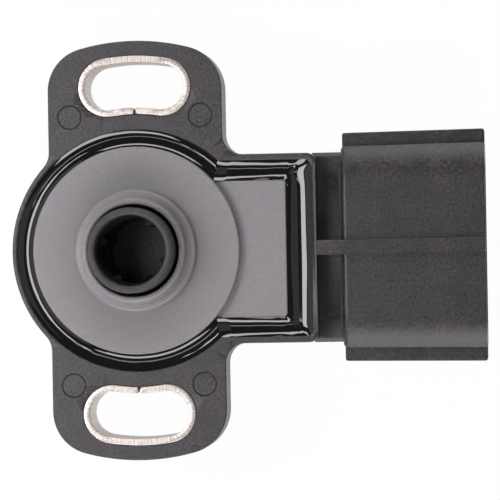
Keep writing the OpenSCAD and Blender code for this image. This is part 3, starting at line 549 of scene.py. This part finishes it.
def potting_line(inner, outer):
    """Points across the potting from the cover to the wall. The resin hangs in a hollow between the
    two, steepest where it wets them, and a little unevenly along its length."""
    width = (outer - inner).length
    turn = math.atan2(outer.y, outer.x)
    on_ring = max(0.0, min(1.0, (DISC_R + 0.9 * mm - inner.length) / (0.9 * mm)))
    along = Vector((outer.x, outer.y, 0.0))
    slow = noise.noise(along / (5.0 * mm) + Vector((0, 0, 2)))
    quick = noise.noise(along / (1.7 * mm) + Vector((7, 3, 0)))
    to_south = 0.5 - 0.5 * math.sin(turn)
    to_west = on_ring * max(0.0, -math.cos(turn)) ** 2
    in_end = max(0.0, min(1.0, (inner.x - TONGUE_END + TONGUE_CORNER_R) / TONGUE_CORNER_R))
    in_strip = (1.0 - on_ring) * (1.0 - in_end)
    at_corner = in_strip * max(0.0, min(1.0, (outer.x - 16.5 * mm) / (1.5 * mm)))
    bow = 1.6 - 0.45 * in_end - 0.35 * to_west
    steepest = 0.62 - 0.08 * in_strip * (1.0 - to_south) - 0.12 * at_corner
    cover_slope = 0.85 + 0.65 * to_west + 0.06 * slow + 0.02 * quick
    wall_slope = (0.92 - on_ring * (0.20 + 0.30 * to_south) - 0.15 * in_strip * to_south
                  - 0.18 * in_end + 0.08 * slow + 0.05 * quick * (1.0 - in_end))
    z = (-0.37 + 0.17 * on_ring + 0.02 * slow) * mm
    line = []
    for i in range(POTTING_ACROSS, -1, -1):
        place = inner.lerp(outer, i / POTTING_ACROSS)
        lump = 0.0
        for x, y, radius, height in POTTING_LUMPS:
            away = math.hypot(place.x - x, place.y - y) / radius
            lump += height * max(0.0, 1 - away * away) ** 2
        line.append((place.x, place.y, z + lump))
        centred = 2 * (i - 0.5) / POTTING_ACROSS - 1
        slope = (wall_slope if centred > 0 else cover_slope) * abs(centred) ** bow
        slope = (max(slope, 1e-3) ** -4 + steepest ** -4) ** -0.25
        z -= math.copysign(slope, centred) * width / POTTING_ACROSS
    return line[::-1]


def potting_piece():
    pairs = potting_sections()
    lines = [potting_line(*pair) for pair in pairs]
    lines.append(lines[0])
    bpy.ops.mesh.primitive_grid_add(x_subdivisions=len(lines) - 1,
                                    y_subdivisions=POTTING_ACROSS, size=2)
    piece = bpy.context.object
    piece.name = "potting_ring"
    for vertex in piece.data.vertices:
        column = round((vertex.co.x + 1) / 2 * (len(lines) - 1))
        row = round((vertex.co.y + 1) / 2 * POTTING_ACROSS)
        vertex.co = lines[column][row]
    edit(piece)
    bpy.ops.mesh.remove_doubles(threshold=0.001 * mm)
    bpy.ops.mesh.select_all(action="DESELECT")
    bpy.ops.mesh.select_non_manifold(extend=False, use_wire=False, use_boundary=True,
                                     use_multi_face=False, use_non_contiguous=False,
                                     use_verts=False)
    bpy.ops.mesh.extrude_region_move()
    shape = bmesh.from_edit_mesh(piece.data)
    for vertex in shape.verts:
        if vertex.select:
            vertex.co.z = POTTING_FLOOR
    bmesh.update_edit_mesh(piece.data)
    bpy.ops.mesh.bridge_edge_loops()
    bpy.ops.mesh.select_all(action="SELECT")
    bpy.ops.mesh.normals_make_consistent(inside=False)
    leave_edit()
    smooth(piece, angle=60)
    return piece


# Stage, light and camera

def studio_floor():
    bpy.ops.mesh.primitive_plane_add(size=4.0, location=(0, 0, cad_box[0][2] - 0.02 * mm))
    floor = bpy.context.object
    floor.name = "studio_floor"
    material, tree, shader = new_finish("studio_white", (0.9, 0.9, 0.9), 0.9)
    shader.inputs["Specular IOR Level"].default_value = 0.0
    output = tree.nodes["Material Output"]
    glow = add_node(tree, "ShaderNodeEmission", Strength=1.0)
    blend = add_node(tree, "ShaderNodeMixShader")
    tree.links.new(times(tree, seen_rays(tree), 0.97), blend.inputs["Fac"])
    tree.links.new(shader.outputs[0], blend.inputs[1])
    tree.links.new(glow.outputs[0], blend.inputs[2])
    tree.links.new(blend.outputs[0], output.inputs["Surface"])
    dress(floor, material)


def seen_rays(tree):
    """1 for the rays that see the background: the camera's, and those in gloss and glass."""
    path = add_node(tree, "ShaderNodeLightPath")
    total = path.outputs["Is Camera Ray"]
    for ray in ("Is Glossy Ray", "Is Transmission Ray"):
        largest = add_node(tree, "ShaderNodeMath", operation="MAXIMUM")
        tree.links.new(total, largest.inputs[0])
        tree.links.new(path.outputs[ray], largest.inputs[1])
        total = largest.outputs["Value"]
    return total


def studio_air():
    """The world: a dim even light, with the white background standing round the horizon."""
    world = bpy.data.worlds.new("studio_air")
    bpy.context.scene.world = world
    world.use_nodes = True
    tree = world.node_tree
    background = tree.nodes["Background"]
    direction = add_node(tree, "ShaderNodeTexCoord")
    split = add_node(tree, "ShaderNodeSeparateXYZ")
    tree.links.new(direction.outputs["Generated"], split.inputs["Vector"])
    low = spread(tree, split.outputs["Z"], 0.05, 0.30, 1.0, 0.0)
    light = add_node(tree, "ShaderNodeMix", data_type="RGBA")
    tree.links.new(times(tree, seen_rays(tree), low), light.inputs["Factor"])
    light.inputs[6].default_value = (0.11, 0.11, 0.115, 1.0)
    light.inputs[7].default_value = (1.0, 1.0, 1.0, 1.0)
    tree.links.new(light.outputs[2], background.inputs["Color"])


def softbox(name, azimuth, tilt, distance, width, length, power, aim_x=12 * mm):
    """A lamp that looks at the sensor from a bearing, at a tilt from the vertical. Its length lies
    along the tilt."""
    lamp = bpy.data.lights.new(name, "AREA")
    lamp.shape = "RECTANGLE"
    lamp.size = width
    lamp.size_y = length
    lamp.energy = power
    holder = bpy.data.objects.new(name, lamp)
    bpy.context.scene.collection.objects.link(holder)
    a, b = math.radians(azimuth), math.radians(tilt)
    aim = Vector((aim_x, 0, 0))
    outward = Vector((math.sin(b) * math.cos(a), math.sin(b) * math.sin(a), math.cos(b)))
    holder.location = aim + distance * outward
    holder.rotation_euler = outward.to_track_quat("Z", "Y").to_euler()


def studio_lamps():
    softbox("north_box", 90, 52, 0.6, 0.50, 0.13, 1.20)
    softbox("south_box", -90, 46, 0.6, 0.50, 0.20, 1.85)
    softbox("west_box", 180, 29, 0.3, 0.135, 0.15, 0.44)
    softbox("east_box", 0, 26, 0.6, 0.39, 0.46, 0.17)
    softbox("south_strip", -90, 6, 0.6, 0.17, 0.04, 0.068, aim_x=-40 * mm)
    softbox("north_wall", 90, 82, 0.6, 0.70, 0.30, 1.35)
    softbox("south_wall", -90, 82, 0.6, 0.70, 0.30, 2.0)
    softbox("west_wall", 180, 78, 0.6, 1.40, 0.70, 1.4)


def photo_camera():
    """The photograph's camera: almost over the connector's mouth, tilted to centre the sensor."""
    turn = Matrix.Rotation(-PHOTO_ROLL, 4, "Z")
    per_pixel = mm / PHOTO_SCALE
    centre = PHOTO_SIDE / 2

    def on_plane(pixel, height=0.0):
        across = (pixel[0] - ROTOR_PIXEL[0]) * per_pixel
        up = (ROTOR_PIXEL[1] - pixel[1]) * per_pixel
        return turn @ Vector((across, up, height * per_pixel))

    target = on_plane((centre, centre))
    reach = EYE_HEIGHT * per_pixel
    eye = on_plane(EYE_PIXEL, EYE_HEIGHT)
    back = (eye - target).normalized()
    up = turn @ Vector((0, 1, 0))
    right = up.cross(back).normalized()
    camera = bpy.data.cameras.new("photo_camera")
    camera.sensor_width = 36.0
    camera.lens = camera.sensor_width * (eye - target).length / (PHOTO_SIDE * per_pixel)
    camera.clip_start = reach / 100
    camera.clip_end = reach * 100
    holder = bpy.data.objects.new("photo_camera", camera)
    bpy.context.scene.collection.objects.link(holder)
    facing = Matrix((right, back.cross(right), back)).transposed().to_4x4()
    holder.matrix_world = Matrix.Translation(eye) @ facing
    bpy.context.scene.camera = holder


# The sensor

bpy.context.scene.view_settings.view_transform = "Standard"
deselect_all()
# Its bands paint shade on the connector
black_plastic = moulded_plastic("black_plastic", (0.031, 0.0255, 0.031), 0.40, mottle=0.35,
                               bands=SHELL_SHADE_AND_FLOW_BANDS)
grey_plastic = moulded_plastic("grey_plastic", (0.204, 0.190, 0.204), 0.40, mottle=0.04)
rotor_plastic = moulded_plastic("rotor_plastic", (0.050, 0.046, 0.049), 0.45, ior=1.35)
resin = polished_resin()
sleeve_steel = sheared_steel()
brass = metal("terminal_brass", (0.80, 0.62, 0.30), 0.30)
tin = metal("solder_tin", (0.70, 0.70, 0.69), 0.28)
spring_steel = metal("spring_steel", (0.62, 0.62, 0.64), 0.30)
bronze = metal("bush_bronze", (0.52, 0.36, 0.20), 0.45)
rubber = film("seal_rubber", (0.018, 0.018, 0.018), 0.50)
laminate = film("board_laminate", (0.62, 0.56, 0.42), 0.60)
carbon = film("carbon_ink", (0.020, 0.020, 0.021), 0.55)
silver = film("silver_ink", (0.60, 0.60, 0.58), 0.40)

finish_piece(housing_piece(), "housing", "base", black_plastic)
finish_piece(cover_piece(), "cover_plate", "base", grey_plastic)
finish_piece(potting_piece(), "seal_bead", "base", resin)
finish_piece(sleeve_piece("upper_sleeve"), "upper_sleeve", "base", sleeve_steel)
finish_piece(sleeve_piece("lower_sleeve"), "lower_sleeve", "base", sleeve_steel)
finish_piece(rotor_piece(), "rotor", "turning_rotor", rotor_plastic)

inner_finishes = {
    "rotor_bush": bronze, "shaft_seal": rubber, "return_spring": spring_steel, "brush": brass,
    "resistor_board": laminate, "resistive_track": carbon, "collector_track": carbon,
    "conductor_traces": silver, "terminal_supply": brass, "terminal_signal": brass,
    "terminal_ground": brass, "solder_supply": tin, "solder_signal": tin, "solder_ground": tin,
}
for node, material in inner_finishes.items():
    dress(nodes[node], material)

studio_floor()
studio_air()
studio_lamps()
photo_camera()
